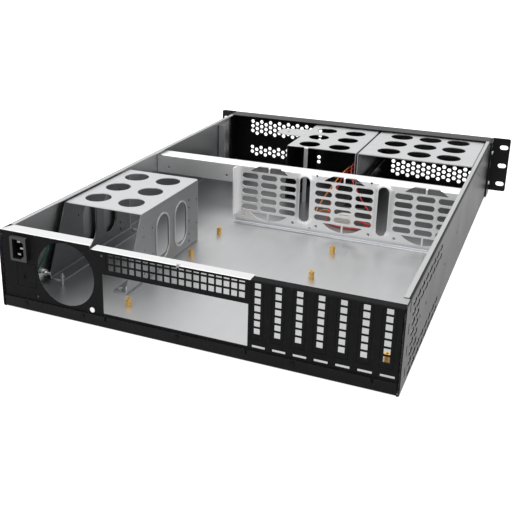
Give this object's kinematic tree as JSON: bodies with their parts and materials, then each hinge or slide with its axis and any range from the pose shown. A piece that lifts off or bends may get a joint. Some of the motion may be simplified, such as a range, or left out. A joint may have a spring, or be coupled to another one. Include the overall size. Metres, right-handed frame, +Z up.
{
  "type": "empty rackmount server case",
  "caption": "Open-topped rackmount server case with a perforated cross wall for fans, drive cages, board standoffs and slotted rack ears.",
  "frame": {"origin": "centre of the base, on the surface it stands on", "axes": "+Z up, +Y towards the rear panel, +X towards the power supply's wall"},
  "size_m": [0.4826, 0.6556, 0.088],
  "materials": {
    "tray_steel": "galvanised, dull",
    "black_steel": "black powder coat, satin",
    "cage_steel": "galvanised, satin",
    "wall_steel": "galvanised, bright satin",
    "front_cage_steel": "galvanised, bright satin",
    "cover_plastic": "fine grained",
    "button_plastic": "smooth",
    "board_laminate": "satin",
    "light_lens": "frosted",
    "angle_steel": "galvanised, dull",
    "standoff_brass": "bright",
    "inlet_plastic": "satin",
    "pin_metal": "plated",
    "screw_zinc": "zinc plated",
    "rivet_black": "black",
    "terminal_tin": "tin plated",
    "earth_jacket": "green and yellow",
    "red_jacket": "satin",
    "black_jacket": "satin",
    "orange_jacket": "satin",
    "plug_nylon": "natural nylon"
  },
  "bodies": {
    "case": {"chassis_tray": "tray_steel", "rear_panel": "black_steel", "rear_drive_cage": "cage_steel", "fan_wall": "wall_steel", "front_drive_cage": "front_cage_steel", "bay_cage": "front_cage_steel", "front_panel": "black_steel", "bay_cover": "cover_plastic", "control_board": "board_laminate", "indicator_lights": "light_lens", "ear_left": "black_steel", "ear_right": "black_steel", "wall_angle": "angle_steel", "standoffs": "standoff_brass", "inlet_socket": "inlet_plastic", "inlet_pins": "pin_metal", "cage_screws": "screw_zinc", "ear_screws": "screw_zinc", "lip_rivets": "rivet_black", "panel_screw": "screw_zinc", "floor_stud": "screw_zinc", "earth_stud": "screw_zinc", "earth_nut": "screw_zinc", "ring_terminal": "terminal_tin", "earth_lead": "earth_jacket", "power_switch_lead": "red_jacket", "reset_switch_lead": "black_jacket", "indicator_lead": "orange_jacket", "control_plug": "plug_nylon"},
    "power_button": {"power_button": "button_plastic"},
    "reset_button": {"reset_button": "button_plastic"}
  },
  "joints": [
    {"name": "power_button_press", "type": "slide", "parent": "case", "child": "power_button", "axis": [0, 1, 0], "range_m": [0, 0.0015], "stiffness_N_per_m": 400},
    {"name": "reset_button_press", "type": "slide", "parent": "case", "child": "reset_button", "axis": [0, 1, 0], "range_m": [0, 0.0015], "stiffness_N_per_m": 400}
  ]
}
